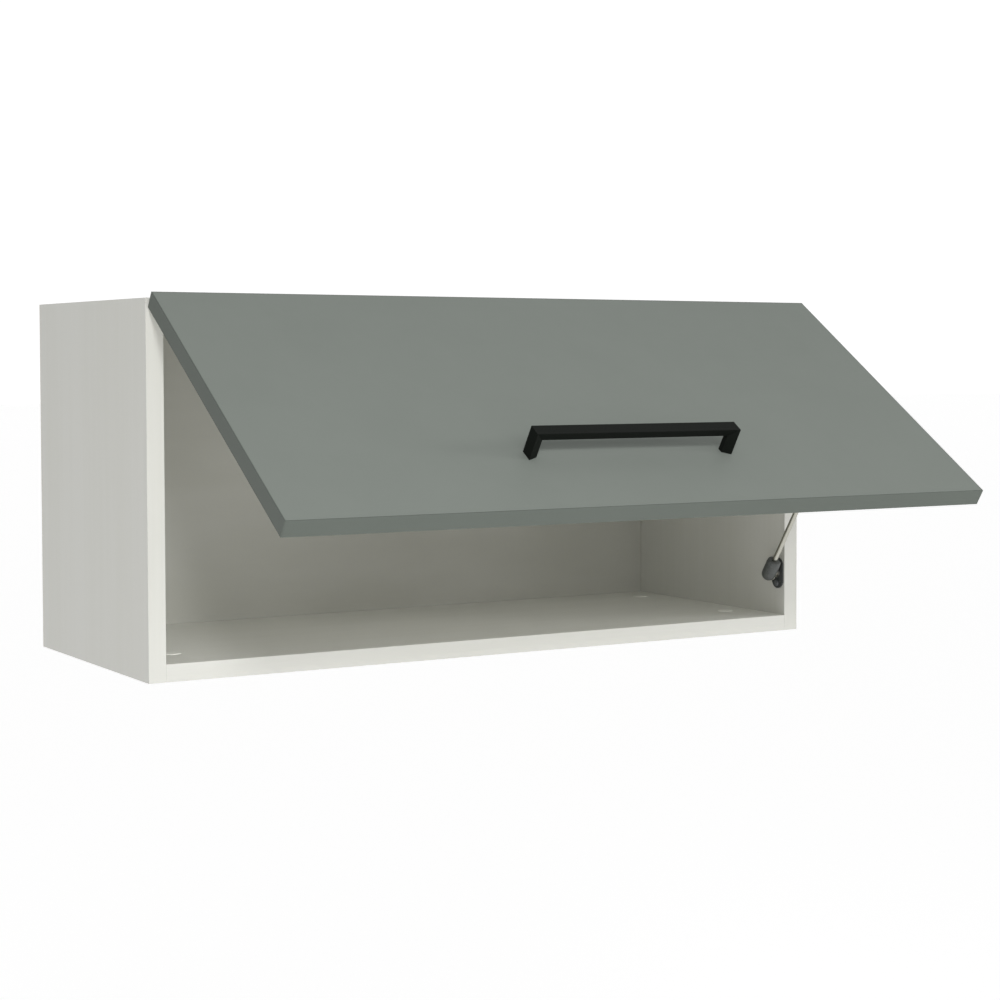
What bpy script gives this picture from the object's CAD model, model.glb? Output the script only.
"""Dresses a lift-up wall cabinet: melamine box, grey-green lift door, black bar handle and gas strut."""

import math

import bmesh
import bpy
from mathutils import Matrix, Vector


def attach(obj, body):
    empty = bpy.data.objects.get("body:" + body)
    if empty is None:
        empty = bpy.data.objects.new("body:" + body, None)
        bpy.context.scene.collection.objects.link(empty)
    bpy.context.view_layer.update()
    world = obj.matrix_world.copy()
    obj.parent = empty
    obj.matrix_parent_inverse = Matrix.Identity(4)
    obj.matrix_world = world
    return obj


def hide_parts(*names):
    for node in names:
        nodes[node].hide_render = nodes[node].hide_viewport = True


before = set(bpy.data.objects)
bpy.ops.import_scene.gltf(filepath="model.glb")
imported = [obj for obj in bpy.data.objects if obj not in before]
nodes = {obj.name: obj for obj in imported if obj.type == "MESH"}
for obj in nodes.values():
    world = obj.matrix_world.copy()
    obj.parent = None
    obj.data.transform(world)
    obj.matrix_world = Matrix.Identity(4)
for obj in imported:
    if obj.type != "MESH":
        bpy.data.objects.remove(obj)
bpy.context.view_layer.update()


# ---- camera and soft boxes ----

def aim(thing, direction):
    """Turns a camera or light so that it looks along a direction."""
    thing.rotation_mode = "QUATERNION"
    thing.rotation_quaternion = Vector(direction).to_track_quat("-Z", "Y")


def place_camera():
    """Stands the camera front left of the box, a little above its middle, with the box left in the frame."""
    lens = bpy.data.cameras.new("camera")
    lens.sensor_width = 36
    lens.lens = 77.47
    lens.shift_x = -0.12
    lens.shift_y = -0.049
    lens.clip_end = 300     # past the far end of the floor
    camera = bpy.data.objects.new("camera", lens)
    camera.location = (-1.149, -2.354, -0.002)
    yaw, pitch = math.radians(32.72), math.radians(-2.45)
    level = math.cos(pitch)
    aim(camera, (math.sin(yaw) * level, math.cos(yaw) * level, math.sin(pitch)))
    bpy.context.scene.collection.objects.link(camera)
    bpy.context.scene.camera = camera


def hang_light(name, place, target, width, height, watts):
    """Adds a white soft box that faces a target."""
    lamp = bpy.data.lights.new(name, "AREA")
    lamp.shape = "RECTANGLE"
    lamp.size, lamp.size_y = width, height
    lamp.energy = watts
    box = bpy.data.objects.new(name, lamp)
    box.location = place
    aim(box, Vector(target) - Vector(place))
    bpy.context.scene.collection.objects.link(box)


# ---- materials ----

def linear(hex_colour):
    """An sRGB hex value as linear red, green, blue and alpha."""
    parts = [int(hex_colour[i:i + 2], 16) / 255 for i in (1, 3, 5)]
    return [c / 12.92 if c <= 0.04045 else ((c + 0.055) / 1.055) ** 2.4 for c in parts] + [1.0]


def add(tree, kind, values=(), links=(), **settings):
    """Adds one node: its settings, its socket values and what is linked into its sockets."""
    made = tree.nodes.new(kind)
    for name, value in settings.items():
        setattr(made, name, value)
    for socket, value in dict(values).items():
        made.inputs[socket].default_value = value
    for socket, source in dict(links).items():
        tree.links.new(source, made.inputs[socket])
    return made


def start_material(name, hex_colour, roughness, metallic=0.0, **sockets):
    """A material with its shader; returns the material, its tree and the shader."""
    material = bpy.data.materials.new(name)
    material.use_nodes = True
    tree = material.node_tree
    shader = tree.nodes["Principled BSDF"]
    shader.inputs["Base Color"].default_value = linear(hex_colour)
    shader.inputs["Roughness"].default_value = roughness
    shader.inputs["Metallic"].default_value = metallic
    for socket, value in sockets.items():
        shader.inputs[socket.replace("_", " ")].default_value = value
    return material, tree, shader


def stretched(tree, across_mm, along_mm, grain):
    """Object coordinates scaled so that one unit is across_mm, and along_mm along the grain axis."""
    where = add(tree, "ShaderNodeTexCoord")
    scale = [1000 / across_mm] * 3
    scale["XYZ".index(grain)] = 1000 / along_mm
    mapping = add(tree, "ShaderNodeMapping", {"Scale": scale}, {"Vector": where.outputs["Object"]})
    return mapping.outputs["Vector"]


def two_tones(tree, factor, low_hex, high_hex, low=0.35, high=0.65):
    """Blends between two colours as factor goes from low to high."""
    ramp = add(tree, "ShaderNodeValToRGB", links={"Fac": factor})
    first, last = ramp.color_ramp.elements
    first.position, last.position = low, high
    first.color, last.color = linear(low_hex), linear(high_hex)
    return ramp.outputs["Color"]


def roughness_range(tree, shader, factor, low, high):
    """Lets a pattern vary the roughness between two values."""
    span = add(tree, "ShaderNodeMapRange", {"To Min": low, "To Max": high}, {"Value": factor})
    tree.links.new(span.outputs["Result"], shader.inputs["Roughness"])


def raise_by(tree, shader, height, depth_mm, strength=1.0):
    """Feeds a height pattern to the shader as relief of depth_mm."""
    bump = add(tree, "ShaderNodeBump", {"Strength": strength, "Distance": depth_mm / 1000},
               {"Height": height})
    tree.links.new(bump.outputs["Normal"], shader.inputs["Normal"])


def beyond(tree, axis, limit_mm):
    """1 where the piece reaches past a plane across one axis, and 0 before it."""
    where = add(tree, "ShaderNodeTexCoord").outputs["Object"]
    parts = add(tree, "ShaderNodeSeparateXYZ", links={0: where})
    past = add(tree, "ShaderNodeMath", {1: limit_mm / 1000}, {0: parts.outputs[axis]},
               operation="GREATER_THAN")
    return past.outputs[0]


def mixed(tree, factor, first, second):
    """Goes from one colour socket to another: sockets 6 and 7 are the two colours, 2 the result."""
    mix = add(tree, "ShaderNodeMix", links={0: factor, 6: first, 7: second}, data_type="RGBA")
    return mix.outputs[2]


def chips(tree):
    """Colour of a sawn chipboard edge: tan flakes about 2.5 mm long, with dark bark specks."""
    flakes = add(tree, "ShaderNodeTexVoronoi", {"Scale": 1.0}, {"Vector": stretched(tree, 1.4, 2.5, "Z")})
    return two_tones(tree, flakes.outputs["Distance"], "#C9AD80", "#7E6240", 0.1, 0.95)


def pressed_melamine(name, grain, pale, deep, raw_axis=None, raw_from_mm=0.0):
    """Melamine-faced chipboard with a printed pale ash grain, pressed between textured plates:
    almost one colour, with long faint streaks, and a low sheen that breaks up along them.
    Past raw_from_mm along raw_axis the sawn core shows."""
    material, tree, shader = start_material(name, pale, 0.46, IOR=1.55)
    streaks = add(tree, "ShaderNodeTexNoise",
                  {"Scale": 1.0, "Detail": 5.0, "Roughness": 0.6, "Distortion": 0.4},
                  {"Vector": stretched(tree, 7, 260, grain)})
    # cathedral figure of the print, 40 mm wide
    figure = add(tree, "ShaderNodeTexNoise", {"Scale": 1.0, "Detail": 2.0, "Roughness": 0.5},
                 {"Vector": stretched(tree, 42, 600, grain)})
    both = add(tree, "ShaderNodeMath", links={0: streaks.outputs["Fac"], 1: figure.outputs["Fac"]},
               operation="ADD")
    half = add(tree, "ShaderNodeMath", {1: 0.5}, {0: both.outputs[0]}, operation="MULTIPLY")
    colour = two_tones(tree, half.outputs[0], deep, pale, 0.36, 0.6)
    if raw_axis:
        colour = mixed(tree, beyond(tree, raw_axis, raw_from_mm), colour, chips(tree))
    tree.links.new(colour, shader.inputs["Base Color"])
    roughness_range(tree, shader, streaks.outputs["Fac"], 0.42, 0.54)
    # pores of the plate, 0.9 mm apart in the print and drawn that coarse to show
    pores = add(tree, "ShaderNodeTexNoise", {"Scale": 1.0, "Detail": 2.0},
                {"Vector": stretched(tree, 0.9, 14, grain)})
    raise_by(tree, shader, pores.outputs["Fac"], 0.05, 0.3)
    return material


def lacquered_hardboard(raw_from_mm):
    """Thin hardboard: white roller lacquer with a faint orange peel in front, bare brown fibre behind."""
    material, tree, shader = start_material("lacquered_hardboard", "#C0C0B9", 0.4, IOR=1.5)
    cloud = add(tree, "ShaderNodeTexNoise", {"Scale": 1.0, "Detail": 3.0},
                {"Vector": stretched(tree, 60, 200, "X")})
    lacquer = two_tones(tree, cloud.outputs["Fac"], "#BCBCB4", "#C1C1BA")
    fibre = add(tree, "ShaderNodeTexNoise", {"Scale": 1.0, "Detail": 5.0, "Roughness": 0.7},
                {"Vector": stretched(tree, 3, 3, "X")})
    bare = two_tones(tree, fibre.outputs["Fac"], "#7A5C3E", "#A07F5A", 0.3, 0.7)
    behind = beyond(tree, "Y", raw_from_mm)
    tree.links.new(mixed(tree, behind, lacquer, bare), shader.inputs["Base Color"])
    rough = add(tree, "ShaderNodeMapRange", {"To Min": 0.42, "To Max": 0.8}, {"Value": behind})
    tree.links.new(rough.outputs["Result"], shader.inputs["Roughness"])
    peel = add(tree, "ShaderNodeTexNoise", {"Scale": 1.0, "Detail": 1.0},
               {"Vector": stretched(tree, 2.5, 2.5, "X")})
    raise_by(tree, shader, peel.outputs["Fac"], 0.04, 0.4)
    return material


def supermatt_enamel(name, pale, deep, roughness, inner_face=False):
    """Supermatt enamel on fibreboard: one flat colour that drifts by a hair, with a fine dry grit that
    kills the shine. An enamelled door keeps the white facing of its board inside."""
    material, tree, shader = start_material(name, pale, roughness, IOR=1.5, Specular_IOR_Level=0.2)
    drift = add(tree, "ShaderNodeTexNoise", {"Scale": 1.0, "Detail": 4.0, "Roughness": 0.7},
                {"Vector": stretched(tree, 90, 90, "X")})
    colour = two_tones(tree, drift.outputs["Fac"], deep, pale, 0.3, 0.7)
    if inner_face:
        where = add(tree, "ShaderNodeTexCoord").outputs["Object"]
        depth = add(tree, "ShaderNodeVectorMath", {1: DOOR_INWARD}, {0: where}, operation="DOT_PRODUCT")
        inside = add(tree, "ShaderNodeMath", {1: DOOR_INNER_PLANE}, {0: depth.outputs["Value"]},
                     operation="GREATER_THAN").outputs[0]
        facing_tone = two_tones(tree, drift.outputs["Fac"], WHITE_STREAK, WHITE, 0.3, 0.7)
        colour = mixed(tree, inside, colour, facing_tone)
    tree.links.new(colour, shader.inputs["Base Color"])
    # the grit is 0.1 mm on the real enamel and 0.7 here, so that it shows
    grit = add(tree, "ShaderNodeTexNoise", {"Scale": 1.0, "Detail": 3.0, "Roughness": 0.7},
               {"Vector": stretched(tree, 0.7, 0.7, "X")})
    roughness_range(tree, shader, grit.outputs["Fac"], roughness - 0.07, roughness + 0.07)
    raise_by(tree, shader, grit.outputs["Fac"], 0.03, 0.3)
    return material


def powder_coat(name, hex_colour, roughness, specular=0.5):
    """Baked powder coat on metal: satin, with a soft orange peel about 1.2 mm across."""
    material, tree, shader = start_material(name, hex_colour, roughness, IOR=1.5,
                                            Specular_IOR_Level=specular)
    peel = add(tree, "ShaderNodeTexNoise", {"Scale": 1.0, "Detail": 2.0},
               {"Vector": stretched(tree, 1.2, 1.2, "X")})
    roughness_range(tree, shader, peel.outputs["Fac"], roughness - 0.06, roughness + 0.08)
    raise_by(tree, shader, peel.outputs["Fac"], 0.05, 0.35)
    return material


def moulded_nylon(name, pale, deep):
    """Glass-filled nylon out of an eroded mould: dull, mottled where the fibres lie near the skin."""
    material, tree, shader = start_material(name, pale, 0.5, IOR=1.53)
    fibres = add(tree, "ShaderNodeTexNoise", {"Scale": 1.0, "Detail": 3.0, "Distortion": 1.5},
                 {"Vector": stretched(tree, 2.2, 2.2, "X")})
    tree.links.new(two_tones(tree, fibres.outputs["Fac"], deep, pale), shader.inputs["Base Color"])
    raise_by(tree, shader, fibres.outputs["Fac"], 0.06, 0.5)
    return material


def moulded_polypropylene(name, hex_colour, subsurface=0.0):
    """Injection-moulded polypropylene: waxy, with a slight skin texture."""
    material, tree, shader = start_material(name, hex_colour, 0.42, IOR=1.49, Subsurface_Weight=subsurface)
    skin = add(tree, "ShaderNodeTexNoise", {"Scale": 1.0, "Detail": 2.0},
               {"Vector": stretched(tree, 1.0, 1.0, "X")})
    roughness_range(tree, shader, skin.outputs["Fac"], 0.36, 0.5)
    raise_by(tree, shader, skin.outputs["Fac"], 0.03, 0.3)
    return material


def nickel_plate():
    """Bright nickel on stamped steel: warm grey, with faint rolling lines from the sheet."""
    material, tree, shader = start_material("nickel_plate", "#C9C7C1", 0.28, metallic=1.0)
    lines = add(tree, "ShaderNodeTexNoise", {"Scale": 1.0, "Detail": 3.0},
                {"Vector": stretched(tree, 0.5, 12, "Y")})
    roughness_range(tree, shader, lines.outputs["Fac"], 0.2, 0.38)
    raise_by(tree, shader, lines.outputs["Fac"], 0.02, 0.25)
    return material


def cast_zinc():
    """Die-cast zinc as it leaves the tumbler: dull and softly clouded."""
    material, tree, shader = start_material("cast_zinc", "#A5A8AA", 0.45, metallic=1.0)
    cloud = add(tree, "ShaderNodeTexNoise", {"Scale": 1.0, "Detail": 4.0},
                {"Vector": stretched(tree, 1.6, 1.6, "X")})
    tree.links.new(two_tones(tree, cloud.outputs["Fac"], "#94989A", "#B0B3B4"), shader.inputs["Base Color"])
    raise_by(tree, shader, cloud.outputs["Fac"], 0.05, 0.4)
    return material


def hard_chrome():
    """Centreless-ground and hard-chromed rod: a clear, tight highlight with fine rings round it."""
    material, tree, shader = start_material("hard_chrome", "#A9A89E", 0.24, metallic=1.0)
    rings = add(tree, "ShaderNodeTexNoise", {"Scale": 1.0, "Detail": 2.0},
                {"Vector": stretched(tree, 0.4, 9, "X")})
    roughness_range(tree, shader, rings.outputs["Fac"], 0.18, 0.34)
    return material


def raw_beech():
    """Unfinished beech: pinkish tan with short dark flecks along the dowel."""
    material, tree, shader = start_material("raw_beech", "#D2B48C", 0.7, IOR=1.45)
    flecks = add(tree, "ShaderNodeTexNoise", {"Scale": 1.0, "Detail": 4.0},
                 {"Vector": stretched(tree, 0.8, 7, "X")})
    colour = two_tones(tree, flecks.outputs["Fac"], "#B08E63", "#D8BC95")
    tree.links.new(colour, shader.inputs["Base Color"])
    raise_by(tree, shader, flecks.outputs["Fac"], 0.05, 0.5)
    return material


def nitrile_rubber():
    """Moulded nitrile: near black and dry."""
    material, tree, shader = start_material("nitrile_rubber", "#232323", 0.75, IOR=1.52)
    bloom = add(tree, "ShaderNodeTexNoise", {"Scale": 1.0, "Detail": 2.0},
                {"Vector": stretched(tree, 1.5, 1.5, "X")})
    roughness_range(tree, shader, bloom.outputs["Fac"], 0.65, 0.85)
    return material


WHITE, WHITE_STREAK = "#CECEC8", "#CBCBC4"
# the level boards are drawn paler, as the floor of the box looks too grey otherwise
LEVEL_WHITE, LEVEL_STREAK = "#E2E2DC", "#DFDFD8"
EDGING_WHITE, EDGING_STREAK = "#D2D2CC", "#CECEC7"
REAR_FACE_MM = -0.4     # the boards end at the wall, y = 0
BACK_REAR_MM = -18.6    # the back panel's rear face is at y = -18
OPEN_ANGLE = math.radians(57)
# the door's inner face at the open stop: its direction, and how far along that it lies, less 0.3 mm
DOOR_INWARD = (0, math.cos(OPEN_ANGLE), -math.sin(OPEN_ANGLE))
DOOR_INNER_PLANE = -0.2212
finishes = {
    "upright": pressed_melamine("melamine_upright", "Z", WHITE, WHITE_STREAK, "Y", REAR_FACE_MM),
    "level": pressed_melamine("melamine_level", "X", LEVEL_WHITE, LEVEL_STREAK, "Y", REAR_FACE_MM),
    "rail": pressed_melamine("melamine_rail", "X", WHITE, WHITE_STREAK),
    "upright_edging": pressed_melamine("edging_upright", "Z", EDGING_WHITE, EDGING_STREAK),
    "level_edging": pressed_melamine("edging_level", "X", EDGING_WHITE, EDGING_STREAK),
    "back": lacquered_hardboard(BACK_REAR_MM),
    "door": supermatt_enamel("sage_enamel", "#7E847E", "#7C827C", 0.6, inner_face=True),
    "door_edging": supermatt_enamel("sage_edge_enamel", "#5D635D", "#5B615B", 0.55),
    "handle": powder_coat("black_powder_coat", "#0E120E", 0.6, 0.12),
    "bracket": powder_coat("dark_grey_coat", "#3A3D3D", 0.45),
    "tube": powder_coat("strut_tube_coat", "#474A4A", 0.36),
    "socket": moulded_nylon("grey_nylon", "#4E514F", "#3E413F"),
    "cap": moulded_polypropylene("white_polypropylene", "#F0F0EA"),
    "stop": moulded_polypropylene("clear_stop", "#E4E4E0", subsurface=0.3),
    "nickel": nickel_plate(),
    "black_zinc": powder_coat("black_zinc_plate", "#55585A", 0.4),
    "zinc": cast_zinc(),
    "chrome": hard_chrome(),
    "beech": raw_beech(),
    "rubber": nitrile_rubber(),
}

finish_of = {
    "upright": ["side_left", "side_right"],
    "level": ["top_panel", "bottom_panel"],
    "rail": ["wall_rail"],
    "upright_edging": ["side_edging"],
    "level_edging": ["cross_edging"],
    "back": ["back_panel"],
    "door": ["door_panel"],
    "door_edging": ["door_side_edging", "door_cross_edging"],
    "handle": ["handle"],
    "bracket": ["box_bracket", "door_bracket"],
    "tube": ["strut_tube"],
    "socket": ["rod_socket", "tube_socket"],
    "cap": ["cam_caps"],
    "stop": ["door_bumpers"],
    "nickel": ["hinge_plate_left", "hinge_plate_right", "hinge_arm_left", "hinge_arm_right",
               "hinge_cup_left", "hinge_cup_right", "hinge_pin_left", "hinge_pin_right",
               "plate_screws", "arm_screws", "cup_screws", "handle_screws", "box_bracket_screws",
               "door_bracket_screws", "box_ball_stud", "door_ball_stud", "rod_socket_clip",
               "tube_socket_clip", "strut_plug", "cam_bolts"],
    "zinc": ["cam_housings"],
    "chrome": ["strut_rod"],
    "beech": ["dowels"],
    "rubber": ["strut_piston", "strut_guide"],
}
for finish, names in finish_of.items():
    for name in names:
        for slot in nodes[name].material_slots:
            slot.material = finishes[finish]


# ---- softened edges ----

def soften(name, width_mm):
    """Breaks a node's sharp edges, as edging is scraped and sheet metal is tumbled."""
    thing = nodes[name]
    weld = thing.modifiers.new("weld", "WELD")
    weld.merge_threshold = 1e-6
    edge = thing.modifiers.new("broken_edge", "BEVEL")
    edge.width = width_mm / 1000
    edge.segments = 2
    edge.limit_method = "ANGLE"
    edge.angle_limit = math.radians(40)
    edge.use_clamp_overlap = True
    edge.harden_normals = True


for name in ["side_edging", "cross_edging", "door_side_edging", "door_cross_edging"]:
    soften(name, 0.3)
soften("handle", 0.5)


# ---- screws and ball sockets ----

MM = 0.001
HINGE_PIN = Vector((0, -340.5, 51.2)) * MM
OPEN_TURN = Matrix.Rotation(-OPEN_ANGLE, 4, "X")
LOW_BALL = Vector((368, -318, -255)) * MM
HIGH_BALL = Vector((368, -455.684, -56.391)) * MM


def facing(place_mm, up, across):
    """Stands a shape that was built up +Z at a place, with its +Z along up and its +X along across."""
    z, x = Vector(up).normalized(), Vector(across).normalized()
    turn = Matrix((x, z.cross(x), z)).transposed().to_4x4()
    return Matrix.Translation(Vector(place_mm) * MM) @ turn


def with_door(placed):
    """Turns what is placed on the shut door to the open stop."""
    return Matrix.Translation(HINGE_PIN) @ OPEN_TURN @ Matrix.Translation(-HINGE_PIN) @ placed


def turned(form, outline, steps):
    """Spins an outline of (radius, height) in millimetres about Z, and returns the new vertices."""
    before = set(form.verts)
    spots = [form.verts.new((r * MM, 0, z * MM)) for r, z in outline]
    edges = [form.edges.new(pair) for pair in zip(spots, spots[1:])]
    bmesh.ops.spin(form, geom=spots + edges, cent=(0, 0, 0), axis=(0, 0, 1), angle=math.tau, steps=steps,
                   use_merge=True)
    bmesh.ops.remove_doubles(form, verts=[v for v in form.verts if v not in before], dist=1e-6)
    return [v for v in form.verts if v not in before]


def rim(form, verts):
    """The open edges among some vertices."""
    chosen = set(verts)
    return [e for e in form.edges if e.is_boundary and chosen.issuperset(e.verts)]


def put(form, name, finish, body, node):
    """Makes an object of a finished form, lets it ride on a body and stand for a CAD node."""
    bmesh.ops.recalc_face_normals(form, faces=form.faces)
    mesh = bpy.data.meshes.new(name)
    form.to_mesh(mesh)
    form.free()
    mesh.materials.append(finishes[finish])
    mesh.shade_smooth()
    mesh.set_sharp_from_angle(angle=math.radians(32))
    piece = bpy.data.objects.new(name, mesh)
    bpy.context.scene.collection.objects.link(piece)
    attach(piece, body)
    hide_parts(node)


# a cross recess: its reach and half its width as shares of the head's diameter, its depth as a share of
# the head's height, and what is left of its width at the bottom
CROSS_REACH, CROSS_HALF, CROSS_DEPTH, CROSS_NARROW = 0.27, 0.075, 0.62, 0.62


def cross_screw(form, placed, shank_d, length, head_d, head_h):
    """A pan-head screw with a cross recess: shank up +Z from the seat, head below it."""
    r, flat = head_d / 2, head_d * 0.34
    dome = [(flat + (r - flat) * math.sin(a), -head_h * (0.3 + 0.7 * math.cos(a)))
            for a in (0, 0.45, 0.85, 1.2, math.pi / 2)]
    shank = [(r - 0.15, 0), (shank_d / 2, 0), (shank_d / 2, length - 1.2), (0, length)]
    made = turned(form, dome + shank, 24)
    top = rim(form, made)
    # the recess: a cross outline in the flat of the head, drawn down and narrowed to a blunt end
    arm, half = head_d * CROSS_REACH, head_d * CROSS_HALF
    one_side = [(half, half), (half, arm), (-half, arm), (-half, half), (-arm, half), (-arm, -half)]
    corner = one_side + [(-x, -y) for x, y in one_side]
    cross = [form.verts.new((x * MM, y * MM, -head_h * MM)) for x, y in corner]
    lines = [form.edges.new((a, b)) for a, b in zip(cross, cross[1:] + cross[:1])]
    bmesh.ops.bridge_loops(form, edges=top + lines)
    sunk = bmesh.ops.extrude_edge_only(form, edges=lines)["geom"]
    low = [v for v in sunk if isinstance(v, bmesh.types.BMVert)]
    bmesh.ops.scale(form, vec=(CROSS_NARROW, CROSS_NARROW, 1), verts=low)
    bmesh.ops.translate(form, vec=(0, 0, head_h * CROSS_DEPTH * MM), verts=low)
    bmesh.ops.contextual_create(form, geom=rim(form, low))
    bmesh.ops.transform(form, matrix=placed, verts=made + cross + low)


def drive_screws(node, finish, body, places, size):
    """Makes one node's screws from their seats and their size."""
    form = bmesh.new()
    for placed in places:
        cross_screw(form, placed, *size)
    put(form, node + "_crossed", finish, body, node)


# seats in millimetres, those of the door as it hangs shut; sizes are shank, length, head and its height
UP, FRONT, RIGHT = (0, 0, 1), (0, -1, 0), (1, 0, 0)
BOTH = (-1, 1)
HINGE_X, HINGE_Y = 290, -293
drive_screws("plate_screws", "nickel", "carcass",
             [facing((x * HINGE_X + k * 16, HINGE_Y, 37), UP, RIGHT) for x in BOTH for k in BOTH],
             (4, 12.5, 7.6, 1.8))
drive_screws("arm_screws", "nickel", "carcass",
             [facing((x * HINGE_X, HINGE_Y + k * 14, 34.5), UP, RIGHT) for x in BOTH for k in BOTH],
             (4, 5.3, 7.6, 1.8))
drive_screws("box_bracket_screws", "black_zinc", "carcass",
             [facing((380, -318, -255 + k * 12), RIGHT, UP) for k in BOTH], (3.5, 12.5, 7, 1.8))
drive_screws("handle_screws", "nickel", "door",
             [with_door(facing((x * 112, -333, -232), FRONT, RIGHT)) for x in BOTH], (4, 29, 8, 2.4))
drive_screws("cup_screws", "nickel", "door",
             [with_door(facing((x * HINGE_X + k * 26, -332, 32), FRONT, RIGHT))
              for x in BOTH for k in BOTH],
             (3.5, 12.5, 7, 1.2))
drive_screws("door_bracket_screws", "black_zinc", "door",
             [with_door(facing((360.5, -331, -104 + k * 10), FRONT, RIGHT)) for k in BOTH],
             (3.5, 12.5, 7, 1.5))


def ball_socket(node, body, ball, along):
    """A moulded socket: round behind the ball, open towards the stud, with the strut let into its neck."""
    form = bmesh.new()
    # in millimetres, from the ball's centre: the body and its neck, the bore and seat of the strut, and
    # the mouth and pocket of the ball
    radius, reach, bore, seat = 8.4, 20, 3.05, 7
    mouth_x, mouth, pocket = 6, 3.6, 4.1
    back = [(radius * math.sin(a), -radius * math.cos(a)) for a in [math.pi / 16 * i for i in range(9)]]
    neck = [(radius, reach - 4.5), (7.9, reach - 1.2), (7.4, reach - 0.3), (6.9, reach)]
    hole = [(bore + 0.5, reach), (bore, reach - 0.5), (bore, seat), (0, seat)]
    turned(form, back + neck + hole, 32)
    # the side towards the stud is flat, with a round mouth in it
    mouth_spot = (mouth_x * MM, 0, 0)
    cut = bmesh.ops.bisect_plane(form, geom=form.verts[:] + form.edges[:] + form.faces[:],
                                 plane_co=mouth_spot, plane_no=RIGHT, clear_outer=True)["geom_cut"]
    flat = [e for e in cut if isinstance(e, bmesh.types.BMEdge)]
    upright = Matrix.Translation(mouth_spot) @ Matrix.Rotation(math.pi / 2, 4, "Y")
    ring = bmesh.ops.create_circle(form, cap_ends=False, radius=mouth * MM, segments=24, matrix=upright)
    loop = list({e for v in ring["verts"] for e in v.link_edges})
    bmesh.ops.bridge_loops(form, edges=flat + loop)
    # the pocket runs in from the mouth and closes round the ball
    x, wide, lip, steps = mouth_x, mouth, math.asin(mouth / pocket), 8
    for k in range(steps):
        angle = lip + (math.pi - lip) * k / steps
        deeper, narrower = pocket * math.cos(angle), pocket * math.sin(angle)
        grown = bmesh.ops.extrude_edge_only(form, edges=loop)["geom"]
        inner = [v for v in grown if isinstance(v, bmesh.types.BMVert)]
        bmesh.ops.translate(form, vec=((deeper - x) * MM, 0, 0), verts=inner)
        bmesh.ops.scale(form, vec=(1, narrower / wide, narrower / wide), verts=inner)
        loop, x, wide = rim(form, inner), deeper, narrower
    bmesh.ops.contextual_create(form, geom=loop)
    bmesh.ops.transform(form, matrix=facing(Vector(ball) / MM, along, RIGHT), verts=form.verts)
    put(form, node + "_moulded", "socket", body, node)


ball_socket("rod_socket", "strut_rod", LOW_BALL, HIGH_BALL - LOW_BALL)
ball_socket("tube_socket", "strut_tube", HIGH_BALL, LOW_BALL - HIGH_BALL)


# ---- stage ----

def lay_floor():
    """A wide pale floor, well below the hung box."""
    mesh = bpy.data.meshes.new("floor")
    form = bmesh.new()
    bmesh.ops.create_grid(form, x_segments=1, y_segments=1, size=120,
                          matrix=Matrix.Translation((0, 0, -2.6)))
    form.to_mesh(mesh)
    form.free()
    floor = bpy.data.objects.new("floor", mesh)
    bpy.context.scene.collection.objects.link(floor)
    material, tree, shader = start_material("studio_floor", "#FAFAFA", 0.9,
                                            Emission_Color=linear("#FFFFFF"), Emission_Strength=0.5)
    grain = add(tree, "ShaderNodeTexNoise", {"Scale": 40.0})
    roughness_range(tree, shader, grain.outputs["Fac"], 0.85, 0.95)
    mesh.materials.append(material)


def light_room():
    """A pale room, white behind the box, with a small key light by the camera and soft boxes for fill."""
    world = bpy.data.worlds.new("studio_room")
    bpy.context.scene.world = world
    world.use_nodes = True
    tree = world.node_tree
    tree.nodes["Background"].inputs["Color"].default_value = (1.0, 1.0, 1.0, 1.0)
    where = add(tree, "ShaderNodeTexCoord").outputs["Generated"]
    glow = add(tree, "ShaderNodeValue")
    glow.outputs[0].default_value = 0.3
    # a direction in the room, the cosines from it where its light starts and is full, and its strength
    for toward, start, full, strength in [((0.54, 0.84, 0.0), 0.55, 0.9, 0.75),
                                          ((0.0, 0.0, 1.0), 0.2, 1.0, 0.22)]:
        near = add(tree, "ShaderNodeVectorMath", {1: toward}, {0: where}, operation="DOT_PRODUCT")
        part = add(tree, "ShaderNodeMapRange", {"From Min": start, "From Max": full, "To Max": strength},
                   {"Value": near.outputs["Value"]})
        glow = add(tree, "ShaderNodeMath", links={0: glow.outputs[0], 1: part.outputs["Result"]})
    tree.links.new(glow.outputs[0], tree.nodes["Background"].inputs["Strength"])
    hang_light("key", (-1.15, -3.05, 1.1), (0, -0.4, -0.15), 0.5, 0.5, 39)
    hang_light("front_left", (-1.8, -3.1, 0.45), (0, -0.3, -0.2), 1.2, 0.8, 9)
    hang_light("front", (0.1, -3.5, 0.45), (0, -0.3, -0.2), 1.4, 0.8, 9)
    hang_light("front_right", (2.1, -2.9, 0.8), (0, -0.3, -0.2), 1.0, 0.35, 3)
    hang_light("right", (3.0, -1.7, 0.5), (0, -0.3, -0.2), 0.8, 0.6, 25)


bpy.context.scene.view_settings.view_transform = "Standard"
bpy.context.scene.view_settings.look = "None"
place_camera()
lay_floor()
light_room()
